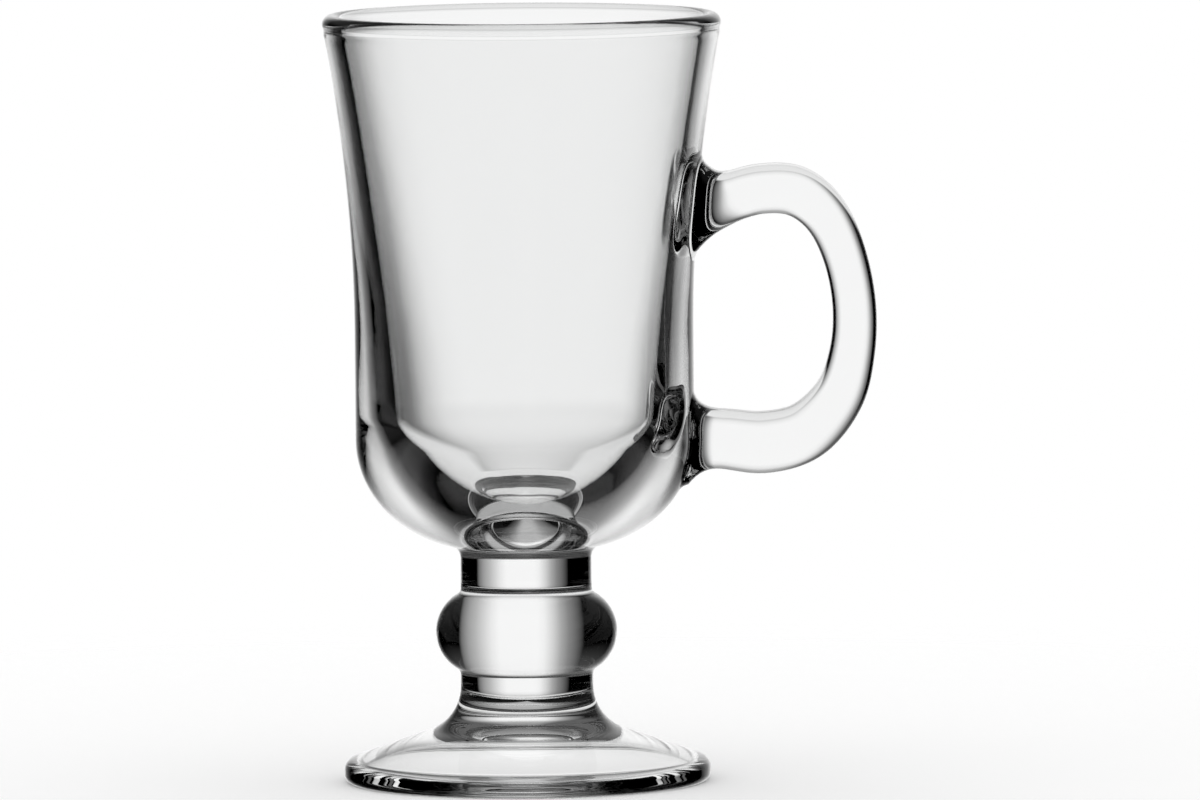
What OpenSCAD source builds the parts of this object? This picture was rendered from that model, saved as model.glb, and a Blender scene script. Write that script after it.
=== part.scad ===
// Footed mug of clear pressed glass for hot drinks: a thick bowl, a knopped stem, a foot and a looped handle.
// Millimetres, +Z up. The origin is on the axis of the bowl, in the plane that the foot stands on.
// The handle is at +X.

/* [Mug] */
// Height from the table to the top of the lip
mug_h = 146; // [138:1:165]

/* [Bowl] */
// Outside diameter of the straight lower wall
bowl_d = 64.3; // [60:0.1:68]
// Height of the rounded heel below the straight wall
heel_h = 21; // [18:0.5:24]
// Radius from the axis at which the heel starts to curve up
heel_flat_r = 8.5; // [6:0.5:10]
// Radius of the hollow fillet between the heel and the neck below it
heel_fillet = 2.2; // [1.4:0.1:3]
// Height of the straight wall, from the heel to the start of the flare
straight_h = 20; // [14:1:26]
// Outside diameter of the lip
lip_d = 75.6; // [72:0.1:80]
// Radius of the rounded lip
lip_round = 1.8; // [1.4:0.1:2.2]
// How far the lip stands proud of the wall below it
lip_proud = 0.25; // [0.1:0.05:0.5]
// Thickness of the glass between the middle of the cavity and the stem
floor_t = 8; // [6:0.2:10]
// Height of the cavity's rounded floor, from its middle to the foot of the wall
floor_h = 19.3; // [15:0.1:24]
// Thickness of the wall where it meets the rounded floor
wall_t = 7.5; // [6:0.1:8.5]
// How far the inner wall bows out of a straight line, towards the axis
wall_bow = 0.85; // [0:0.05:1.4]

/* [Stem] */
// Diameter of the neck above the foot
lower_neck_d = 25.2; // [23:0.1:27]
// Height of the straight stretch of the neck above the foot
lower_neck_h = 2.1; // [1:0.1:5]
// Largest diameter of the knop
knop_d = 34.4; // [32:0.1:38]
// Radius of the knop's rounded outline
knop_round = 8.2; // [7.4:0.1:9]
// Radius of the fillets above and below the knop
knop_fillet = 1.5; // [0.8:0.1:2.2]
// Diameter of the neck below the bowl
upper_neck_d = 24.9; // [23:0.1:27]
// Height of the straight stretch of the neck below the bowl
upper_neck_h = 5.8; // [3:0.1:9]

/* [Foot] */
// Largest diameter of the foot
foot_d = 69.6; // [64:0.1:76]
// Height of the foot's edge
edge_h = 4.7; // [4:0.1:6]
// Radius of the edge's upper rounding
edge_round = 2.3; // [1.5:0.1:2.8]
// Radius of the edge's lower rounding
sole_round = 1.6; // [0.8:0.1:1.8]
// Slope of the foot's top, in degrees
foot_slope = 19.5; // [14:0.5:22]
// Radius of the hollow flare between the foot's top and the neck
foot_flare = 9; // [6:0.5:11]
// Width of the flat ring that the foot stands on
ring_w = 2.2; // [1.5:0.1:8]
// Height of the dome under the foot
dome_h = 9; // [6:0.5:10]

/* [Handle] */
// Distance from the straight wall to the outermost point of the handle
handle_reach = 34.85; // [30:0.1:40]
// Height of the lower root's centre above the bottom of the bowl
handle_low = 22.6; // [21:0.1:25]
// Distance from the top of the lip down to the upper root's centre
handle_drop = 35.4; // [30:0.1:40]
// Thickness of the grip at its outermost point, seen from the side
handle_t = 8.5; // [7:0.1:9.5]
// Width of the grip, seen from its front edge
handle_w = 10.4; // [8:0.1:13]
// How much the upper root swells on each side where it meets the wall
top_swell = 5.6; // [3:0.1:6.2]
// Length over which the upper root swells
top_swell_len = 9.5; // [6:0.5:11]
// How much the lower root swells on each side where it meets the wall
low_swell = 2; // [1:0.1:2.6]
// Length over which the lower root swells
low_swell_len = 5; // [3:0.5:7]

/* [Hidden] */
$fn = 128;
glass = "lightcyan";

// Steps in an arc of the revolved outlines, and steps in a long wall
arc_steps = 12;
wall_steps = 20;

// Radii of the revolved pieces
bowl_r = bowl_d / 2;
lip_r = lip_d / 2;
lower_neck_r = lower_neck_d / 2;
upper_neck_r = upper_neck_d / 2;
foot_r = foot_d / 2;

// Foot: the slope runs from the rolled edge to the flare, which ends upright at the waist
edge_r = foot_r - edge_round;
slope_start = [edge_r, edge_h - edge_round] + edge_round * [sin(foot_slope), cos(foot_slope)];
slope_rise = slope_start.y + (slope_start.x - lower_neck_r) * tan(foot_slope);
waist_z = slope_rise - foot_flare * tan(foot_slope) + foot_flare / cos(foot_slope);
flare_centre = [lower_neck_r + foot_flare, waist_z];
// Angle of the flare that belongs to the neck above the foot
waist_angle = 20;
foot_top_z = waist_z - foot_flare * sin(waist_angle);

// Knop: its outline and both fillets are circles that touch
knop_ring_r = knop_d / 2 - knop_round;
touch_r = knop_round + knop_fillet;
low_touch_angle = acos((lower_neck_r + knop_fillet - knop_ring_r) / touch_r);
top_touch_angle = acos((upper_neck_r + knop_fillet - knop_ring_r) / touch_r);
low_fillet_z = waist_z + lower_neck_h;
knop_z = low_fillet_z + touch_r * sin(low_touch_angle);
top_fillet_z = knop_z + touch_r * sin(top_touch_angle);
knop_low_z = knop_z - knop_round * sin(low_touch_angle);
knop_top_z = knop_z + knop_round * sin(top_touch_angle);

// Heel: a quarter of an ellipse, and a fillet that rolls between it and the neck
bowl_z = top_fillet_z + upper_neck_h;
heel_w = bowl_r - heel_flat_r;
function heel_normal(a) = let (n = [sin(a) / heel_w, -cos(a) / heel_h]) n / norm(n);
function fillet_reach(a) = heel_flat_r + heel_w * sin(a) + heel_fillet * heel_normal(a).x;
function heel_angle(low, high, steps) =
    let (mid = (low + high) / 2)
    steps == 0 ? mid
    : fillet_reach(mid) > upper_neck_r + heel_fillet ? heel_angle(low, mid, steps - 1)
    : heel_angle(mid, high, steps - 1);
heel_start = heel_angle(0, 45, 24);
heel_top_z = bowl_z + heel_h * cos(heel_start) - heel_fillet * heel_normal(heel_start).y;
heel_fillet_angle = atan2(-heel_normal(heel_start).y, -heel_normal(heel_start).x);

// Wall and lip
flare_z = heel_top_z + straight_h;
lip_z = mug_h - lip_round;
under_lip_r = lip_r - lip_proud;

// Cavity: its floor is the lower part of an ellipse, which carries on the slope of the inner wall
cavity_r = bowl_r - wall_t;
floor_z = bowl_z + floor_t;
wall_z = floor_z + floor_h;
wall_slope = (lip_r - 2 * lip_round - cavity_r - 4 * wall_bow) / (lip_z - wall_z);
slope_share = wall_slope * floor_h / cavity_r;
floor_start = asin(slope_share / (1 - slope_share));
floor_w = cavity_r / cos(floor_start);
floor_depth = floor_h / (1 - sin(floor_start));

// Dome under the foot, inside the bearing ring
ring_r = foot_r - sole_round - ring_w;
dome_round = (pow(ring_r, 2) + pow(dome_h, 2)) / (2 * dome_h);
dome_angle = asin(ring_r / dome_round);

// Points on a circle in the (radius, height) plane, from one angle to another
function arc(centre, r, from, to) =
    [for (i = [0 : arc_steps]) let (a = from + (to - from) * i / arc_steps) centre + r * [cos(a), sin(a)]];

// A heel that swells from the fillet to the straight wall
function heel_curve() =
    [for (i = [1 : wall_steps]) let (a = heel_start + (90 - heel_start) * i / wall_steps)
        [heel_flat_r + heel_w * sin(a), heel_top_z - heel_h * cos(a)]];

// The wall's flare, upright where it starts
function flare_curve() =
    [for (i = [0 : wall_steps]) let (t = i / wall_steps)
        [bowl_r + (under_lip_r - bowl_r) * t * t, flare_z + (lip_z - lip_round - flare_z) * t]];

// The inner wall, from the lip down to the rounded floor
function inner_curve() =
    let (top = [lip_r - 2 * lip_round, lip_z], low = [cavity_r, wall_z])
    [for (i = [1 : wall_steps - 1]) let (t = i / wall_steps)
        top + (low - top) * t - [wall_bow, 0] * 4 * t * (1 - t)];

// The cavity's floor, from the foot of the wall to its middle
function floor_curve() =
    [for (i = [0 : wall_steps]) let (a = floor_start + (90 - floor_start) * i / wall_steps)
        [floor_w * cos(a), floor_z + floor_depth * (1 - sin(a))]];

function bowl_outline() = concat(
    arc([upper_neck_r + heel_fillet, bowl_z], heel_fillet, 180, heel_fillet_angle),
    heel_curve(), flare_curve());

module foot() {
    color(glass)
    rotate_extrude()
    polygon(concat(
        arc([0, dome_h - dome_round], dome_round, 90, 90 - dome_angle),
        arc([foot_r - sole_round, sole_round], sole_round, -90, 0),
        arc([edge_r, edge_h - edge_round], edge_round, 0, 90 - foot_slope),
        arc(flare_centre, foot_flare, 270 - foot_slope, 180 + waist_angle),
        [[0, foot_top_z]]));
}

module lower_neck() {
    color(glass)
    rotate_extrude()
    polygon(concat(
        [[0, foot_top_z]],
        arc(flare_centre, foot_flare, 180 + waist_angle, 180),
        arc([lower_neck_r + knop_fillet, low_fillet_z], knop_fillet, 180, 180 - low_touch_angle),
        [[0, knop_low_z]]));
}

module knop() {
    color(glass)
    rotate_extrude()
    polygon(concat(
        [[0, knop_low_z]],
        arc([knop_ring_r, knop_z], knop_round, -low_touch_angle, top_touch_angle),
        [[0, knop_top_z]]));
}

module upper_neck() {
    color(glass)
    rotate_extrude()
    polygon(concat(
        [[0, knop_top_z]],
        arc([upper_neck_r + knop_fillet, top_fillet_z], knop_fillet, 180 + top_touch_angle, 180),
        [[upper_neck_r, bowl_z], [0, bowl_z]]));
}

module bowl() {
    color(glass)
    rotate_extrude()
    polygon(concat(
        [[0, bowl_z]],
        bowl_outline(),
        arc([lip_r - lip_round, lip_z], lip_round, -30, 180),
        inner_curve(),
        floor_curve()));
}

// The bowl's outer form with no cavity, which the roots of the handle are cut to
module bowl_blank() {
    rotate_extrude()
    polygon(concat([[0, bowl_z]], bowl_outline(), [[0, lip_z - lip_round]]));
}

// The handle's path from the upper root to the lower one. Each row holds shares of the reach, of the span
// between the roots, of the grip's thickness and of the grip's width.
path_shares = [
    [-0.13, 0.990, 1.11, 1.04],
    [0.135, 0.996, 1.11, 1.04],
    [0.37, 1.038, 1.11, 1.03],
    [0.570, 1.025, 1.12, 1.00],
    [0.727, 0.923, 1.04, 0.97],
    [0.826, 0.755, 0.98, 0.95],
    [0.875, 0.552, 0.98, 0.95],
    [0.863, 0.353, 1.02, 0.96],
    [0.788, 0.167, 1.14, 0.99],
    [0.612, 0.022, 1.30, 1.03],
    [0.384, -0.026, 1.37, 1.06],
    [0.148, -0.010, 1.33, 1.08],
    [-0.10, -0.004, 1.33, 1.08]];
// Rings from one row to the next, sides of a ring, and the small step along the path that gives its direction
ring_steps = 4;
ring_sides = 24;
look_ahead = 0.01;
// Power of the rounded oblong section, and of the roots' swelling
section_power = 3.8;
swell_power = 2.4;
// Share of the swelling's length that is followed inside the wall
inside_share = 0.2;
// Share of the swelling that the handle's sides get
side_swell_share = 0.5;

path_last = len(path_shares) - 1;
low_root_z = bowl_z + handle_low;
root_span = mug_h - handle_drop - low_root_z;

// A smooth curve through the rows of the table
function row(i) = path_shares[max(0, min(path_last, i))];
function smooth(a, b, c, d, t) =
    (2 * b + (c - a) * t + (2 * a - 5 * b + 4 * c - d) * t * t + (3 * b - a - 3 * c + d) * t * t * t) / 2;
function path_row(s) =
    let (i = min(floor(s), path_last - 1)) smooth(row(i - 1), row(i), row(i + 1), row(i + 2), s - i);
function path_point(s) =
    let (p = path_row(s)) [bowl_r + handle_reach * p.x, low_root_z + root_span * p.y];

// Swelling of a root at a distance from the straight wall
function swell(x, size, length) =
    size * pow(1 - max(-inside_share, min(1, (x - bowl_r) / length)), swell_power);

function rounded(v) = sign(v) * pow(abs(v), 2 / section_power);

function handle_ring(s) =
    let (
        shares = path_row(s),
        centre = path_point(s),
        ahead = path_point(min(path_last, s + look_ahead)) - path_point(max(0, s - look_ahead)),
        across = [-ahead.y, ahead.x] / norm(ahead),
        extra = s < path_last / 2 ? swell(centre.x, top_swell, top_swell_len)
            : swell(centre.x, low_swell, low_swell_len),
        half_t = handle_t * shares[2] / 2 + extra,
        half_w = handle_w * shares[3] / 2 + extra * side_swell_share)
    [for (k = [0 : ring_sides - 1]) let (a = 360 * k / ring_sides, side = across * half_t * rounded(cos(a)))
        [centre.x + side.x, half_w * rounded(sin(a)), centre.y + side.y]];

module handle_loft() {
    rings = path_last * ring_steps;
    points = [for (i = [0 : rings]) each handle_ring(i / ring_steps)];
    sides = [for (i = [0 : rings - 1], k = [0 : ring_sides - 1])
        let (a = i * ring_sides + k, b = i * ring_sides + (k + 1) % ring_sides)
        each [[a, b, b + ring_sides], [a, b + ring_sides, a + ring_sides]]];
    first_cap = [for (k = [ring_sides - 1 : -1 : 0]) k];
    last_cap = [for (k = [0 : ring_sides - 1]) rings * ring_sides + k];
    polyhedron(points, concat([first_cap], sides, [last_cap]));
}

module handle() {
    color(glass)
    difference() {
        handle_loft();
        bowl_blank();
    }
}

foot();
lower_neck();
knop();
upper_neck();
bowl();
handle();
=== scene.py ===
"""Clear pressed-glass mug with a knopped stem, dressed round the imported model. Lengths are in metres."""
import math

import bpy
import numpy as np
from mathutils import Matrix, Vector
from mathutils.geometry import delaunay_2d_cdt


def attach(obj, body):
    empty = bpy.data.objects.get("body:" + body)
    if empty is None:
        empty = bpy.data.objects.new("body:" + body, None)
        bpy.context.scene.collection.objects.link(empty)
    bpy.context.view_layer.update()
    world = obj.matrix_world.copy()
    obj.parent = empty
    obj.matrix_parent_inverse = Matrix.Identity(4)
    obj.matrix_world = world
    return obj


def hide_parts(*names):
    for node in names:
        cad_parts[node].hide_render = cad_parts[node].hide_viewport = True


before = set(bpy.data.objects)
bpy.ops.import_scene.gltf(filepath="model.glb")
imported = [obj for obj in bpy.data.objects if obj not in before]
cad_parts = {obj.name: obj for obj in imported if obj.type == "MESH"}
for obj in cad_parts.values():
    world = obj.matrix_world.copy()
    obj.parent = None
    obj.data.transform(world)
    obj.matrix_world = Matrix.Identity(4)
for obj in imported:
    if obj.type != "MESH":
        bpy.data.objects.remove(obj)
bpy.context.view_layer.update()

MM = 0.001

# Bowl
MUG_H = 146 * MM
BOWL_R = 32.15 * MM
HEEL_H = 21 * MM
HEEL_FLAT_R = 8.5 * MM
HEEL_FILLET = 2.2 * MM
STRAIGHT_H = 20 * MM
LIP_R = 37.8 * MM
LIP_ROUND = 1.8 * MM
LIP_PROUD = 0.25 * MM
FLOOR_T = 8 * MM
FLOOR_H = 19.3 * MM
WALL_T = 7.5 * MM
WALL_BOW = 0.85 * MM

# Stem
LOWER_NECK_R = 12.6 * MM
LOWER_NECK_H = 2.1 * MM
KNOP_R = 17.2 * MM
KNOP_ROUND = 8.2 * MM
KNOP_FILLET = 1.5 * MM
UPPER_NECK_R = 12.45 * MM
UPPER_NECK_H = 5.8 * MM

# Foot
FOOT_R = 34.8 * MM
EDGE_H = 4.7 * MM
EDGE_ROUND = 2.3 * MM
SOLE_ROUND = 1.6 * MM
FOOT_SLOPE = math.radians(19.5)
FOOT_FLARE = 9 * MM
WAIST_ANGLE = math.radians(20)
RING_W = 2.2 * MM
DOME_H = 9 * MM

# Handle
HANDLE_REACH = 34.85 * MM
HANDLE_LOW = 22.6 * MM
HANDLE_DROP = 35.4 * MM
HANDLE_T = 8.5 * MM
HANDLE_W = 10.4 * MM
TOP_SWELL = 5.6 * MM
TOP_SWELL_LEN = 9.5 * MM
LOW_SWELL = 2 * MM
LOW_SWELL_LEN = 5 * MM
ROOT_FILLET = 1.3 * MM

# Steps round the axis, in a rounding, in a long wall, round the handle, along it and in a root's fillet
TURN_STEPS = 192
ARC_STEPS = 20
WALL_STEPS = 56
GRIP_SIDES = 72
GRIP_STEPS = 132
FILLET_STEPS = 7
# Steps in the shorter stretches of the outline, from the foot's ring up to the lip
RING_STEPS = 8
SLOPE_STEPS = 24
NECK_ARC_STEPS = 10
LOWER_NECK_STEPS = 4
UPPER_NECK_STEPS = 8
HEEL_FILLET_STEPS = 12
STRAIGHT_STEPS = 16
LIP_STEPS = 28
# Where the lip's rounding starts, halvings of a search, and how close two points are that count as one
LIP_START = math.radians(-30)
HALVINGS = 32
SAME_POINT = 0.0001 * MM


def arc(centre, radius, start, stop, steps=ARC_STEPS):
    """Points on a circle in the (radius, height) plane between two angles in radians."""
    turn = [start + (stop - start) * i / steps for i in range(steps + 1)]
    return [(centre[0] + radius * math.cos(a), centre[1] + radius * math.sin(a)) for a in turn]


def spread(start, stop, steps):
    """Points on a straight stretch, without its ends."""
    share = [i / steps for i in range(1, steps)]
    return [(start[0] + (stop[0] - start[0]) * t, start[1] + (stop[1] - start[1]) * t) for t in share]


# Heights and angles that follow from the sizes, as the CAD model derives them
RIGHT = math.pi / 2
edge_r = FOOT_R - EDGE_ROUND
slope_start = (
    edge_r + EDGE_ROUND * math.sin(FOOT_SLOPE),
    EDGE_H - EDGE_ROUND + EDGE_ROUND * math.cos(FOOT_SLOPE),
)
waist_z = (
    slope_start[1]
    + (slope_start[0] - LOWER_NECK_R - FOOT_FLARE) * math.tan(FOOT_SLOPE)
    + FOOT_FLARE / math.cos(FOOT_SLOPE)
)
knop_ring_r = KNOP_R - KNOP_ROUND
touch_r = KNOP_ROUND + KNOP_FILLET
low_touch = math.acos((LOWER_NECK_R + KNOP_FILLET - knop_ring_r) / touch_r)
top_touch = math.acos((UPPER_NECK_R + KNOP_FILLET - knop_ring_r) / touch_r)
low_fillet_z = waist_z + LOWER_NECK_H
knop_z = low_fillet_z + touch_r * math.sin(low_touch)
top_fillet_z = knop_z + touch_r * math.sin(top_touch)
bowl_z = top_fillet_z + UPPER_NECK_H
heel_w = BOWL_R - HEEL_FLAT_R


def heel_normal(a):
    n = Vector((math.sin(a) / heel_w, -math.cos(a) / HEEL_H))
    return n.normalized()


def heel_angle():
    """The angle on the heel's ellipse where a fillet that touches the neck also touches the heel."""
    low, high = 0.0, RIGHT / 2
    for _ in range(HALVINGS):
        mid = (low + high) / 2
        reach = HEEL_FLAT_R + heel_w * math.sin(mid) + HEEL_FILLET * heel_normal(mid)[0]
        if reach > UPPER_NECK_R + HEEL_FILLET:
            high = mid
        else:
            low = mid
    return (low + high) / 2


heel_start = heel_angle()
heel_top_z = bowl_z + HEEL_H * math.cos(heel_start) - HEEL_FILLET * heel_normal(heel_start)[1]
heel_fillet_end = math.atan2(-heel_normal(heel_start)[1], -heel_normal(heel_start)[0])
flare_z = heel_top_z + STRAIGHT_H
lip_z = MUG_H - LIP_ROUND
cavity_r = BOWL_R - WALL_T
floor_z = bowl_z + FLOOR_T
wall_z = floor_z + FLOOR_H
wall_slope = (LIP_R - 2 * LIP_ROUND - cavity_r - 4 * WALL_BOW) / (lip_z - wall_z)
slope_share = wall_slope * FLOOR_H / cavity_r
floor_start = math.asin(slope_share / (1 - slope_share))
floor_w = cavity_r / math.cos(floor_start)
floor_depth = FLOOR_H / (1 - math.sin(floor_start))
ring_r = FOOT_R - SOLE_ROUND - RING_W
dome_round = (ring_r**2 + DOME_H**2) / (2 * DOME_H)


def outline_parts():
    """The mug's whole outline, from the middle of the dome to the middle of the bowl's floor, by piece."""
    sole_in = FOOT_R - SOLE_ROUND
    flare_centre = (LOWER_NECK_R + FOOT_FLARE, waist_z)
    flare_start = 3 * RIGHT - FOOT_SLOPE
    foot = (
        arc((0, DOME_H - dome_round), dome_round, RIGHT, RIGHT - math.asin(ring_r / dome_round), WALL_STEPS)
        + spread((ring_r, 0), (sole_in, 0), RING_STEPS)
        + arc((sole_in, SOLE_ROUND), SOLE_ROUND, -RIGHT, 0)
        + arc((edge_r, EDGE_H - EDGE_ROUND), EDGE_ROUND, 0, RIGHT - FOOT_SLOPE)
    )
    slope_end = arc(flare_centre, FOOT_FLARE, flare_start, flare_start, 1)[0]
    foot += spread(slope_start, slope_end, SLOPE_STEPS)
    foot += arc(flare_centre, FOOT_FLARE, flare_start, 2 * RIGHT + WAIST_ANGLE)
    lower_neck = arc(flare_centre, FOOT_FLARE, 2 * RIGHT + WAIST_ANGLE, 2 * RIGHT, NECK_ARC_STEPS)
    lower_neck += spread((LOWER_NECK_R, waist_z), (LOWER_NECK_R, low_fillet_z), LOWER_NECK_STEPS)
    low_fillet = (LOWER_NECK_R + KNOP_FILLET, low_fillet_z)
    lower_neck += arc(low_fillet, KNOP_FILLET, 2 * RIGHT, 2 * RIGHT - low_touch, NECK_ARC_STEPS)
    knop = arc((knop_ring_r, knop_z), KNOP_ROUND, -low_touch, top_touch, 2 * ARC_STEPS)
    top_fillet = (UPPER_NECK_R + KNOP_FILLET, top_fillet_z)
    upper_neck = arc(top_fillet, KNOP_FILLET, 2 * RIGHT + top_touch, 2 * RIGHT, NECK_ARC_STEPS)
    upper_neck += spread((UPPER_NECK_R, top_fillet_z), (UPPER_NECK_R, bowl_z), UPPER_NECK_STEPS)
    upper_neck += [(UPPER_NECK_R, bowl_z)]
    fillet_centre = (UPPER_NECK_R + HEEL_FILLET, bowl_z)
    bowl = arc(fillet_centre, HEEL_FILLET, 2 * RIGHT, heel_fillet_end, HEEL_FILLET_STEPS)
    for i in range(1, WALL_STEPS + 1):
        a = heel_start + (RIGHT - heel_start) * i / WALL_STEPS
        bowl.append((HEEL_FLAT_R + heel_w * math.sin(a), heel_top_z - HEEL_H * math.cos(a)))
    bowl += spread((BOWL_R, heel_top_z), (BOWL_R, flare_z), STRAIGHT_STEPS)
    under_lip_r, under_lip_z = LIP_R - LIP_PROUD, lip_z - LIP_ROUND
    for i in range(WALL_STEPS + 1):
        t = i / WALL_STEPS
        bowl.append((BOWL_R + (under_lip_r - BOWL_R) * t * t, flare_z + (under_lip_z - flare_z) * t))
    bowl += arc((LIP_R - LIP_ROUND, lip_z), LIP_ROUND, LIP_START, 2 * RIGHT, LIP_STEPS)
    top, low = (LIP_R - 2 * LIP_ROUND, lip_z), (cavity_r, wall_z)
    for i in range(1, WALL_STEPS):
        t = i / WALL_STEPS
        bow = WALL_BOW * 4 * t * (1 - t)
        bowl.append((top[0] + (low[0] - top[0]) * t - bow, top[1] + (low[1] - top[1]) * t))
    for i in range(WALL_STEPS):
        a = floor_start + (RIGHT - floor_start) * i / WALL_STEPS
        bowl.append((floor_w * math.cos(a), floor_z + floor_depth * (1 - math.sin(a))))
    bowl.append((0, floor_z))
    return {"foot": foot, "lower_neck": lower_neck, "knop": knop, "upper_neck": upper_neck, "bowl": bowl}


def without_repeats(points):
    kept = [points[0]]
    for p in points[1:]:
        if math.dist(p, kept[-1]) > SAME_POINT:
            kept.append(p)
    return kept


def outline_normals(points):
    """Unit normals that face out of the glass, worked out from each point's neighbours."""
    p = np.array(points)
    before, after = np.roll(p, 1, 0), np.roll(p, -1, 0)
    before[0], after[-1] = p[0] * (-1, 1), p[-1] * (-1, 1)
    a, b = p - before, after - p
    a_len = np.linalg.norm(a, axis=1, keepdims=True)
    b_len = np.linalg.norm(b, axis=1, keepdims=True)
    tangent = a / a_len * b_len + b / b_len * a_len
    normal = np.stack([tangent[:, 1], -tangent[:, 0]], 1)
    return normal / np.linalg.norm(normal, axis=1, keepdims=True)


parts = {name: without_repeats(points) for name, points in outline_parts().items()}
whole, start_of = [], {}
for name, points in parts.items():
    start_of[name] = max(0, len(whole) - 1)
    whole += points[1:] if whole else points
whole_normals = outline_normals(whole)


class Lathe:
    """A revolved stretch of the outline: vertices and their normals, made once each."""

    def __init__(self, name):
        first = start_of[name]
        self.points = whole[first:first + len(parts[name])]
        self.normals = whole_normals[first:first + len(parts[name])]
        self.verts, self.vert_normals, self.faces, self.welds = [], [], [], []
        self.rows = [self.add_row(p, n) for p, n in zip(self.points, self.normals)]

    def add(self, co, normal):
        self.verts.append(tuple(co))
        self.vert_normals.append(tuple(normal))
        return len(self.verts) - 1

    def add_row(self, point, normal):
        (r, z), (nr, nz) = point, normal
        if r < 1e-9:
            return [self.add((0, 0, z), (0, 0, math.copysign(1, nz)))] * TURN_STEPS
        turn = [2 * math.pi * k / TURN_STEPS for k in range(TURN_STEPS)]
        return [
            self.add((r * math.cos(a), r * math.sin(a), z), (nr * math.cos(a), nr * math.sin(a), nz))
            for a in turn
        ]

    def add_walls(self, skip=None):
        """Faces between the rows, leaving out those that skip(row, step) names."""
        for i in range(len(self.rows) - 1):
            a, b = self.rows[i], self.rows[i + 1]
            for k in range(TURN_STEPS):
                if skip and skip(i, k):
                    continue
                n = (k + 1) % TURN_STEPS
                face = list(dict.fromkeys([a[k], a[n], b[n], b[k]]))
                self.faces.append(face)

    def add_weld_disc(self, row, up):
        """The flat face where a piece is fused with the next one."""
        z = self.points[row][1]
        middle = self.add((0, 0, z), (0, 0, 1 if up else -1))
        ring = self.rows[row]
        for k in range(TURN_STEPS):
            n = (k + 1) % TURN_STEPS
            face = [middle, ring[k], ring[n]] if up else [middle, ring[n], ring[k]]
            self.welds.append(face)


def build(name, verts, faces, welds, normals):
    """A mesh object with smooth, exact normals: glass on its faces, the weld material on its fused ones."""
    mesh = bpy.data.meshes.new(name)
    mesh.from_pydata(verts, [], faces + welds)
    mesh.materials.append(glass_material())
    mesh.materials.append(weld_material())
    slots = [0] * len(faces) + [1] * len(welds)
    mesh.polygons.foreach_set("material_index", slots)
    mesh.polygons.foreach_set("use_smooth", [True] * len(slots))
    mesh.update()
    mesh.normals_split_custom_set_from_vertices(normals)
    obj = bpy.data.objects.new(name, mesh)
    bpy.context.scene.collection.objects.link(obj)
    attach(obj, "root")
    return obj


def node(tree, kind, **inputs):
    made = tree.nodes.new(kind)
    for key, value in inputs.items():
        made.inputs[key.replace("_", " ")].default_value = value
    return made


def new_tree(data):
    data.use_nodes = True
    data.node_tree.nodes.clear()
    return data.node_tree


def glass_material():
    """Clear, fire-polished pressed glass: its surface rolls a little and is minutely uneven."""
    known = bpy.data.materials.get("pressed_glass")
    if known:
        return known
    material = bpy.data.materials.new("pressed_glass")
    tree = new_tree(material)
    place = node(tree, "ShaderNodeTexCoord")
    roll = node(tree, "ShaderNodeTexNoise", Scale=42.0, Detail=1.5, Roughness=0.45)
    ripple = node(tree, "ShaderNodeTexNoise", Scale=210.0, Detail=2.0, Roughness=0.5)
    roll_bump = node(tree, "ShaderNodeBump", Strength=0.35, Distance=0.25 * MM)
    ripple_bump = node(tree, "ShaderNodeBump", Strength=0.12, Distance=0.05 * MM)
    shader = node(tree, "ShaderNodeBsdfPrincipled", Roughness=0.0, IOR=1.52)
    shader.inputs["Base Color"].default_value = (0.995, 0.998, 0.997, 1)
    shader.inputs["Transmission Weight"].default_value = 1.0
    out = node(tree, "ShaderNodeOutputMaterial")
    link = tree.links.new
    link(place.outputs["Object"], roll.inputs["Vector"])
    link(place.outputs["Object"], ripple.inputs["Vector"])
    link(roll.outputs["Fac"], roll_bump.inputs["Height"])
    link(ripple.outputs["Fac"], ripple_bump.inputs["Height"])
    link(roll_bump.outputs["Normal"], ripple_bump.inputs["Normal"])
    link(ripple_bump.outputs["Normal"], shader.inputs["Normal"])
    link(shader.outputs["BSDF"], out.inputs["Surface"])
    return material


def weld_material():
    """A face inside the casting, where two pieces are one glass: light passes it unchanged."""
    known = bpy.data.materials.get("fused_glass")
    if known:
        return known
    material = bpy.data.materials.new("fused_glass")
    tree = new_tree(material)
    clear = node(tree, "ShaderNodeBsdfTransparent")
    out = node(tree, "ShaderNodeOutputMaterial")
    tree.links.new(clear.outputs["BSDF"], out.inputs["Surface"])
    return material


# The bowl's outer wall as a flat map: u runs round it and v along its outline, so that a root of the handle
# can be set into it. w is the distance out of the wall.
bowl_lathe = Lathe("bowl")
lip_row = next(i for i, p in enumerate(bowl_lathe.points) if p[1] > lip_z)
wall_points = np.array(bowl_lathe.points[:lip_row])
wall_normals = np.array(bowl_lathe.normals[:lip_row])
wall_v = np.concatenate([[0], np.cumsum(np.linalg.norm(np.diff(wall_points, axis=0), axis=1))])


def on_wall(u, v, w=0.0):
    """The place in space of a point of the map, and the wall's normal there."""
    a = u / BOWL_R
    r, z = np.interp(v, wall_v, wall_points[:, 0]), np.interp(v, wall_v, wall_points[:, 1])
    nr, nz = np.interp(v, wall_v, wall_normals[:, 0]), np.interp(v, wall_v, wall_normals[:, 1])
    size = math.hypot(nr, nz)
    nr, nz = nr / size, nz / size
    normal = Vector((nr * math.cos(a), nr * math.sin(a), nz))
    return Vector((r * math.cos(a), r * math.sin(a), z)) + normal * w, normal


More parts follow.
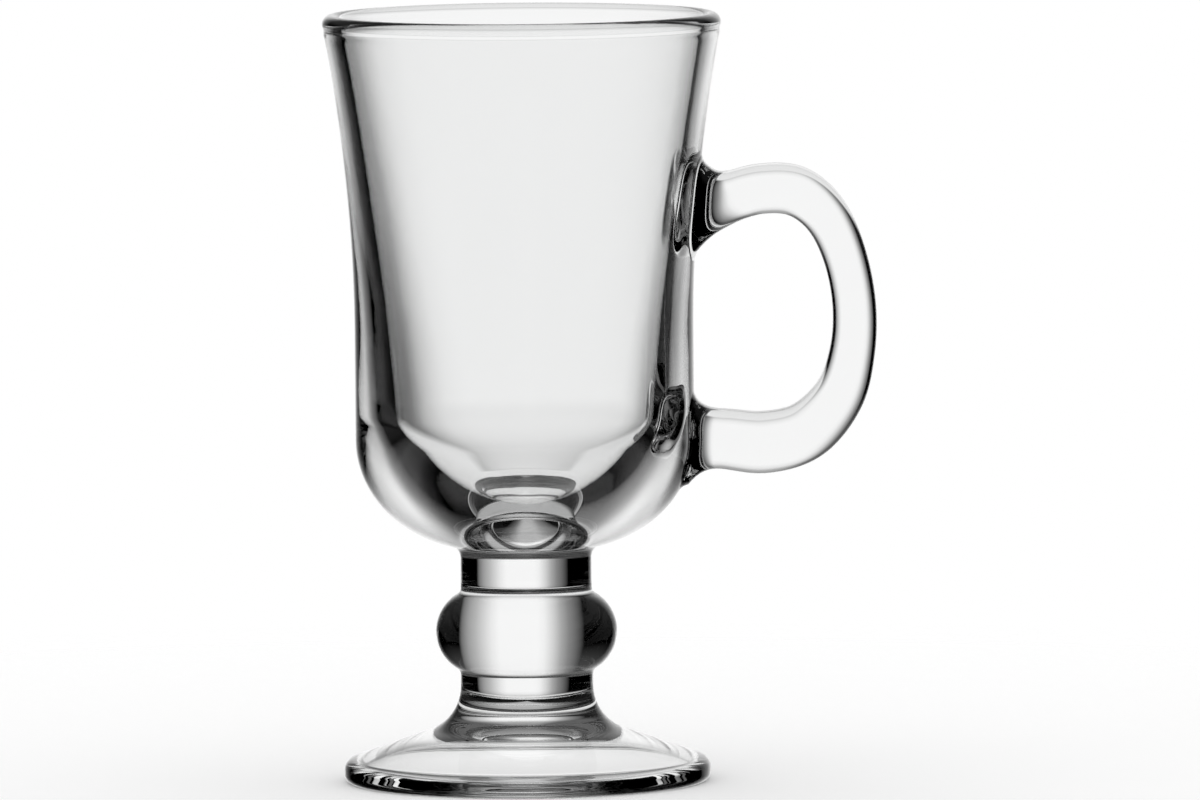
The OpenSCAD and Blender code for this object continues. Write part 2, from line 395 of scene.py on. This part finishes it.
def to_wall(co):
    """The map's u, v and w of a point in space."""
    p = np.array([math.hypot(co[0], co[1]), co[2]])
    a, b = wall_points[:-1], wall_points[1:]
    t = np.clip(((p - a) * (b - a)).sum(1) / ((b - a) ** 2).sum(1), 0, 1)
    near = a + (b - a) * t[:, None]
    gap = np.linalg.norm(p - near, axis=1)
    i = int(gap.argmin())
    side = math.copysign(1, (p - near[i]) @ wall_normals[i])
    return math.atan2(co[1], co[0]) * BOWL_R, wall_v[i] + t[i] * (wall_v[i + 1] - wall_v[i]), side * gap[i]


# The handle's path from the upper root to the lower one, in shares of the reach, of the span between the
# roots, of the grip's thickness and of its width
PATH_SHARES = np.array([
    (-0.13, 0.990, 1.11, 1.04),
    (0.135, 0.996, 1.11, 1.04),
    (0.37, 1.038, 1.11, 1.03),
    (0.570, 1.025, 1.12, 1.00),
    (0.727, 0.923, 1.04, 0.97),
    (0.826, 0.755, 0.98, 0.95),
    (0.875, 0.552, 0.98, 0.95),
    (0.863, 0.353, 1.02, 0.96),
    (0.788, 0.167, 1.14, 0.99),
    (0.612, 0.022, 1.30, 1.03),
    (0.384, -0.026, 1.37, 1.06),
    (0.148, -0.010, 1.33, 1.08),
    (-0.10, -0.004, 1.33, 1.08),
])
PATH_LAST = len(PATH_SHARES) - 1
SECTION_POWER = 3.8
SWELL_POWER = 2.4
INSIDE_SHARE = 0.2
SIDE_SWELL_SHARE = 0.5
low_root_z = bowl_z + HANDLE_LOW
root_span = MUG_H - HANDLE_DROP - low_root_z


def path_row(s):
    """A smooth curve through the rows of the table."""
    i = min(int(s), PATH_LAST - 1)
    a, b, c, d = (PATH_SHARES[max(0, min(PATH_LAST, i + k))] for k in (-1, 0, 1, 2))
    t = s - i
    return (2 * b + (c - a) * t + (2 * a - 5 * b + 4 * c - d) * t**2 + (3 * b - a - 3 * c + d) * t**3) / 2


def path_point(s):
    row = path_row(s)
    return np.array([BOWL_R + HANDLE_REACH * row[0], low_root_z + root_span * row[1]])


# Small steps along the path for its direction, and along and round the skin for its normal
LOOK_AHEAD = 0.01
CLOSE_BY = 0.001


def swell(x, size, length):
    return size * (1 - max(-INSIDE_SHARE, min(1, (x - BOWL_R) / length))) ** SWELL_POWER


def section(half_t, half_w, a):
    """The point of the grip's section, a rounded rectangle, that lies at angle a."""
    c, d = math.cos(a), math.sin(a)
    reach = (abs(c / half_t) ** SECTION_POWER + abs(d / half_w) ** SECTION_POWER) ** (-1 / SECTION_POWER)
    return reach * c, reach * d


def grip_point(s, a):
    """A point of the handle's skin at a place along the path and an angle round it."""
    row, centre = path_row(s), path_point(s)
    ahead = path_point(min(PATH_LAST, s + LOOK_AHEAD)) - path_point(max(0, s - LOOK_AHEAD))
    across = np.array([-ahead[1], ahead[0]]) / np.linalg.norm(ahead)
    if s < PATH_LAST / 2:
        extra = swell(centre[0], TOP_SWELL, TOP_SWELL_LEN)
    else:
        extra = swell(centre[0], LOW_SWELL, LOW_SWELL_LEN)
    half_t = HANDLE_T * row[2] / 2 + extra
    half_w = HANDLE_W * row[3] / 2 + extra * SIDE_SWELL_SHARE
    out, beside = section(half_t, half_w, a)
    return (centre[0] + across[0] * out, beside, centre[1] + across[1] * out)


def grip_normal(s, a):
    """The skin's normal at such a point, from points close by."""
    along = Vector(grip_point(s + CLOSE_BY, a)) - Vector(grip_point(s - CLOSE_BY, a))
    round_it = Vector(grip_point(s, a + CLOSE_BY)) - Vector(grip_point(s, a - CLOSE_BY))
    n = round_it.cross(along).normalized()
    out = Vector(grip_point(s, a)) - (Vector(grip_point(s, a)) + Vector(grip_point(s, a + math.pi))) / 2
    return n if n.dot(out) > 0 else -n


def meets_wall(a, w, inside, outside):
    """The place along the path where the skin's line at angle a lies at distance w out of the wall."""
    for _ in range(HALVINGS):
        mid = (inside + outside) / 2
        if to_wall(grip_point(mid, a))[2] < w:
            inside = mid
        else:
            outside = mid
    return (inside + outside) / 2


GRIP_ANGLES = [2 * math.pi * k / GRIP_SIDES for k in range(GRIP_SIDES)]


def root_rows(inside, outside):
    """Rows of a root's fillet, from the one that lies on the wall to the one where the plain skin starts."""
    base = [meets_wall(a, ROOT_FILLET, inside, outside) for a in GRIP_ANGLES]
    flat = np.array([to_wall(grip_point(s, a))[:2] for s, a in zip(base, GRIP_ANGLES)])
    along = np.roll(flat, -1, 0) - np.roll(flat, 1, 0)
    out = np.stack([along[:, 1], -along[:, 0]], 1) / np.linalg.norm(along, axis=1, keepdims=True)
    if ((flat - flat.mean(0)) * out).sum() < 0:
        out = -out
    rows = []
    for j in range(FILLET_STEPS + 1):
        bend = RIGHT * (1 - j / FILLET_STEPS)
        w, push = ROOT_FILLET * (1 - math.sin(bend)), ROOT_FILLET * (1 - math.cos(bend))
        row = []
        for k, a in enumerate(GRIP_ANGLES):
            s = meets_wall(a, w, inside, outside)
            u, v, _ = to_wall(grip_point(s, a))
            row.append((u + out[k][0] * push, v + out[k][1] * push, w))
        rows.append(row)
    return base, rows


def grid_normals(grid):
    """Normals of a tube's grid of points, from the points on either side."""
    g = np.array(grid)
    round_it = np.roll(g, -1, 1) - np.roll(g, 1, 1)
    along = np.gradient(g, axis=0)
    n = np.cross(round_it, along)
    n /= np.linalg.norm(n, axis=2, keepdims=True)
    middle = g.mean(1, keepdims=True)
    return n if ((g - middle) * n).sum() > 0 else -n


# Rings of a weld patch, in shares of the way from its middle to the loop
PATCH_SHARES = (0.78, 0.55, 0.3)


def weld_patch(loop):
    """The wall inside a root's loop: its points on the map, and faces that count up from the loop."""
    count, middle = len(loop), np.mean(loop, axis=0)
    points = [tuple(p) for p in loop]
    for share in PATCH_SHARES:
        points += [tuple(middle + (np.array(p) - middle) * share) for p in loop]
    points.append(tuple(middle))
    faces = []
    for ring in range(len(PATCH_SHARES)):
        for k in range(count):
            n = (k + 1) % count
            faces.append([ring * count + k, ring * count + n, (ring + 1) * count + n, (ring + 1) * count + k])
    last = len(PATCH_SHARES) * count
    faces += [[last + k, last + (k + 1) % count, last + count] for k in range(count)]
    return points, faces


# How far along the path, in rows of its table, a root can reach out of the wall
ROOT_REACH = 1.6

top_base, top_rows = root_rows(0.0, ROOT_REACH)
low_base, low_rows = root_rows(float(PATH_LAST), PATH_LAST - ROOT_REACH)
root_loops = [[(u, v) for u, v, _ in rows[0]] for rows in (top_rows, low_rows)]


def make_handle():
    top_grid = [[tuple(on_wall(*p)[0]) for p in row] for row in top_rows]
    low_grid = [[tuple(on_wall(*p)[0]) for p in row] for row in low_rows]
    places = []
    for i in range(1, GRIP_STEPS):
        t = i / GRIP_STEPS
        places.append([(a + (b - a) * t, g) for a, b, g in zip(top_base, low_base, GRIP_ANGLES)])
    middle = [[grip_point(*place) for place in row] for row in places]
    grid = top_grid + middle + low_grid[::-1]
    normals = grid_normals(grid)
    for i, row in enumerate(places):
        normals[len(top_grid) + i] = [tuple(grip_normal(*place)) for place in row]
    for row, source in ((0, top_rows[0]), (-1, low_rows[0])):
        normals[row] = [tuple(on_wall(*p)[1]) for p in source]
    verts = [p for row in grid for p in row]
    vert_normals = [tuple(n) for row in normals for n in row]
    faces = []
    for i in range(len(grid) - 1):
        for k in range(GRIP_SIDES):
            n = (k + 1) % GRIP_SIDES
            a, b = i * GRIP_SIDES, (i + 1) * GRIP_SIDES
            faces.append([a + k, b + k, b + n, a + n])
    welds = []
    for loop, first, reverse in zip(root_loops, (0, (len(grid) - 1) * GRIP_SIDES), (False, True)):
        points, patch = weld_patch(loop)
        index = [first + k for k in range(GRIP_SIDES)]
        for u, v in points[GRIP_SIDES:]:
            co, normal = on_wall(u, v)
            index.append(len(verts))
            verts.append(tuple(co))
            vert_normals.append(tuple(-normal))
        welds += [[index[i] for i in (face[::-1] if reverse else face)] for face in patch]
    return build("glass_handle", verts, faces, welds, vert_normals)


# Steps round the axis, on each side of the handle, that are meshed round the roots instead of in plain quads
WINDOW_STEPS = 13
# Wall that is meshed with a root above and below it, and the gap between its plain mesh and the root's loop
WINDOW_MARGIN = 3 * MM
LOOP_GAP = 0.5 * MM


def window_rows(loop):
    """The first and last row of the wall that a root's window spans."""
    v = [p[1] for p in loop]
    first = int(np.searchsorted(wall_v, min(v) - WINDOW_MARGIN)) - 1
    last = int(np.searchsorted(wall_v, max(v) + WINDOW_MARGIN))
    return max(0, first), min(last, len(wall_v) - 2)


def inside_loop(point, loop):
    """Is a point of the map inside a loop?"""
    x, y = point
    hit = False
    for (ax, ay), (bx, by) in zip(loop, loop[1:] + loop[:1]):
        if (ay > y) != (by > y) and x < ax + (bx - ax) * (y - ay) / (by - ay):
            hit = not hit
    return hit


def add_window(lathe, loop, rows):
    """Meshes the wall round a root's loop, with the loop's inside as a weld."""
    first, last = rows
    step = 2 * math.pi / TURN_STEPS * BOWL_R
    points, owner, edges = [], [], []
    place = {}
    loop_points = np.array(loop)
    for i in range(first, last + 1):
        for k in range(-WINDOW_STEPS, WINDOW_STEPS + 1):
            p = (k * step, wall_v[i])
            rim = i in (first, last) or abs(k) == WINDOW_STEPS
            near = np.linalg.norm(loop_points - p, axis=1).min() < LOOP_GAP
            if rim or not (near or inside_loop(p, loop)):
                place[i, k] = len(points)
                points.append(p)
                owner.append(lathe.rows[i][k % TURN_STEPS])
    for i in range(first, last):
        for k in (-WINDOW_STEPS, WINDOW_STEPS):
            edges.append((place[i, k], place[i + 1, k]))
    for k in range(-WINDOW_STEPS, WINDOW_STEPS):
        for i in (first, last):
            edges.append((place[i, k], place[i, k + 1]))
    patch_points, patch_faces = weld_patch(loop)
    loop_start = len(points)
    patch_owner = []
    for u, v in patch_points:
        co, normal = on_wall(u, v)
        patch_owner.append(lathe.add(co, normal))
    for k, p in enumerate(loop):
        points.append(p)
        owner.append(patch_owner[k])
        edges.append((loop_start + k, loop_start + (k + 1) % len(loop)))
    scale = 1 / MM
    flat = [Vector((u * scale, v * scale)) for u, v in points]
    out, _, faces, origin, _, _ = delaunay_2d_cdt(flat, edges, [], 0, 1e-6)
    for face in faces:
        corners = [out[i] / scale for i in face]
        middle = sum(corners, Vector((0, 0))) / len(corners)
        if inside_loop(tuple(middle), loop):
            continue
        ids = [owner[origin[i][0]] for i in face]
        lathe.faces.append(ids)
    area = sum(a[0] * b[1] - b[0] * a[1] for a, b in zip(loop, loop[1:] + loop[:1]))
    for face in patch_faces:
        ids = [patch_owner[i] for i in face]
        lathe.welds.append(ids if area > 0 else ids[::-1])


def make_bowl():
    lathe = bowl_lathe
    spans = [window_rows(loop) for loop in root_loops]

    def in_window(row, step):
        near = step < WINDOW_STEPS or step >= TURN_STEPS - WINDOW_STEPS
        return near and any(first <= row < last for first, last in spans)

    lathe.add_walls(in_window)
    for loop, rows in zip(root_loops, spans):
        add_window(lathe, loop, rows)
    lathe.add_weld_disc(0, up=False)
    return build("glass_bowl", lathe.verts, lathe.faces, lathe.welds, lathe.vert_normals)


def make_stem_piece(name, low_weld=True):
    lathe = Lathe(name)
    lathe.add_walls()
    if low_weld:
        lathe.add_weld_disc(0, up=False)
    lathe.add_weld_disc(len(lathe.rows) - 1, up=True)
    return build("glass_" + name, lathe.verts, lathe.faces, lathe.welds, lathe.vert_normals)


# The floor's sheet, where it starts and ends to fade, and how far it lies below the mug
SHEET_R = 340 * MM
SHEET_STEPS = 96
FADE_START = 200 * MM
FADE_END = 330 * MM
SHEET_GAP = 0.02 * MM


def make_floor():
    """A plain white sheet that fades into the white surround. The glass doesn't show it."""
    turn = [2 * math.pi * k / SHEET_STEPS for k in range(SHEET_STEPS)]
    verts = [(0, 0, -SHEET_GAP)]
    verts += [(SHEET_R * math.cos(a), SHEET_R * math.sin(a), -SHEET_GAP) for a in turn]
    mesh = bpy.data.meshes.new("floor")
    mesh.from_pydata(verts, [], [[0, 1 + k, 1 + (k + 1) % SHEET_STEPS] for k in range(SHEET_STEPS)])
    material = bpy.data.materials.new("white_sheet")
    tree = new_tree(material)
    place = node(tree, "ShaderNodeTexCoord")
    length = node(tree, "ShaderNodeVectorMath")
    length.operation = "LENGTH"
    fade = node(tree, "ShaderNodeMapRange")
    fade.interpolation_type = "SMOOTHSTEP"
    fade.inputs["From Min"].default_value = FADE_START
    fade.inputs["From Max"].default_value = FADE_END
    paper = node(tree, "ShaderNodeBsdfDiffuse", Color=(1, 1, 1, 1))
    clear = node(tree, "ShaderNodeBsdfTransparent")
    mix = node(tree, "ShaderNodeMixShader")
    out = node(tree, "ShaderNodeOutputMaterial")
    link = tree.links.new
    link(place.outputs["Object"], length.inputs[0])
    link(length.outputs["Value"], fade.inputs["Value"])
    link(fade.outputs["Result"], mix.inputs["Fac"])
    link(paper.outputs["BSDF"], mix.inputs[1])
    link(clear.outputs["BSDF"], mix.inputs[2])
    link(mix.outputs["Shader"], out.inputs["Surface"])
    mesh.materials.append(material)
    floor = bpy.data.objects.new("floor", mesh)
    bpy.context.scene.collection.objects.link(floor)
    floor.visible_transmission = False
    floor.visible_glossy = False


# How light the studio is that the glass shows, against an angle in degrees, where 1 is white. The panel
# behind the mug falls off to the left and right of the line of sight, and above and below the horizon.
LIGHT_LEFT = ((5, 1), (8, 0.94), (12, 0.7), (16, 0.42), (20, 0.25), (26, 0.1), (30, 0))
LIGHT_RIGHT = ((12, 1), (16, 0.88), (20, 0.7), (25, 0.5), (30, 0.36), (35, 0.18), (38, 0))
LIGHT_UP = (
    (-45, 0.45), (-30, 0.48), (-25, 0.6), (-18, 0.88), (-12, 1),
    (12, 1), (20, 0.85), (30, 0.45), (60, 0.2),
)
# Overhead, the studio is a dim grey all round
LIGHT_OVERHEAD = ((6, 0), (20, 0.12), (80, 0.12))
# To the sides and behind the camera, and below, it is white for light that no surface has mirrored
LIGHT_BEHIND = ((76, 0), (84, 1))
LIGHT_BELOW = ((-25, 0.85), (-19, 0))


def make_world():
    """A white panel with a dark sector on each side, for the glass alone: all else sees plain white."""
    world = bpy.data.worlds.new("studio")
    bpy.context.scene.world = world
    tree = new_tree(world)
    link = tree.links.new
    place = node(tree, "ShaderNodeTexCoord")
    split = node(tree, "ShaderNodeSeparateXYZ")
    link(place.outputs["Generated"], split.inputs["Vector"])

    def maths(operation, a, b=0.0):
        made = node(tree, "ShaderNodeMath")
        made.operation = operation
        for socket, value in zip(made.inputs, (a, b)):
            if isinstance(value, (int, float)):
                socket.default_value = value
            else:
                link(value, socket)
        return made.outputs["Value"]

    def curve(angle, stops):
        """The light at an angle, on straight lines between the stops."""
        low, high = stops[0][0], stops[-1][0]
        made = node(tree, "ShaderNodeValToRGB")
        marks = made.color_ramp.elements
        for i, (at, light) in enumerate(stops):
            share = (at - low) / (high - low)
            mark = marks[i] if i < 2 else marks.new(share)
            mark.position, mark.color = share, (light, light, light, 1)
        link(maths("DIVIDE", maths("SUBTRACT", angle, low), high - low), made.inputs["Fac"])
        return made.outputs["Color"]

    x, y, z = split.outputs
    turn = maths("MULTIPLY", maths("ARCTAN2", x, y), 180 / math.pi)
    rise = maths("MULTIPLY", maths("ARCSINE", z), 180 / math.pi)
    to_left = maths("MULTIPLY", turn, -1)
    across = maths("MULTIPLY", curve(to_left, LIGHT_LEFT), curve(turn, LIGHT_RIGHT))
    panel = maths("MULTIPLY", across, curve(rise, LIGHT_UP))
    light = maths("MAXIMUM", panel, curve(rise, LIGHT_OVERHEAD))
    seen = node(tree, "ShaderNodeLightPath")
    direct = maths("LESS_THAN", seen.outputs["Glossy Depth"], 0.5)
    behind = maths("MULTIPLY", curve(maths("ABSOLUTE", turn), LIGHT_BEHIND), direct)
    below = maths("MULTIPLY", curve(rise, LIGHT_BELOW), direct)
    light = maths("MAXIMUM", light, maths("MAXIMUM", behind, below))
    glass_ray = maths("MAXIMUM", seen.outputs["Is Transmission Ray"], seen.outputs["Is Glossy Ray"])
    elsewhere = maths("SUBTRACT", 1, glass_ray)
    light = maths("ADD", maths("MULTIPLY", light, glass_ray), elsewhere)
    background = node(tree, "ShaderNodeBackground")
    link(light, background.inputs["Color"])
    out = node(tree, "ShaderNodeOutputWorld")
    link(background.outputs["Background"], out.inputs["Surface"])


# The camera's sensor and lens in millimetres, its place, the point it looks at and its roll
SENSOR = 36
LENS = 519
CAMERA_PLACE = (14.3 * MM, -3272 * MM, 332 * MM)
CAMERA_AIM = (14.3 * MM, 0, 72.4 * MM)
CAMERA_ROLL = math.radians(-0.48)


def make_camera():
    """A long lens from the front, a little above the rim, as the photograph was taken."""
    data = bpy.data.cameras.new("camera")
    data.sensor_width = SENSOR
    data.lens = LENS
    data.clip_start, data.clip_end = 0.1, 20
    camera = bpy.data.objects.new("camera", data)
    bpy.context.scene.collection.objects.link(camera)
    place, aim = Vector(CAMERA_PLACE), Vector(CAMERA_AIM)
    turn = (aim - place).to_track_quat("-Z", "Y").to_matrix().to_4x4()
    roll = Matrix.Rotation(CAMERA_ROLL, 4, "Z")
    camera.matrix_world = Matrix.Translation(place) @ turn @ roll
    bpy.context.scene.camera = camera


# Turns that a path of light takes in the glass, and fused faces that it passes
BOUNCES = 10
CLEAR_FACES = 32


def main():
    scene = bpy.context.scene
    make_camera()
    make_world()
    make_floor()
    pieces = {
        "foot": make_stem_piece("foot", low_weld=False),
        "lower_neck": make_stem_piece("lower_neck"),
        "knop": make_stem_piece("knop"),
        "upper_neck": make_stem_piece("upper_neck"),
        "bowl": make_bowl(),
        "handle": make_handle(),
    }
    for name, piece in pieces.items():
        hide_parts(name)
    scene.view_settings.view_transform = "Standard"
    scene.cycles.max_bounces = BOUNCES
    scene.cycles.transmission_bounces = BOUNCES
    scene.cycles.glossy_bounces = BOUNCES
    scene.cycles.transparent_max_bounces = CLEAR_FACES


main()
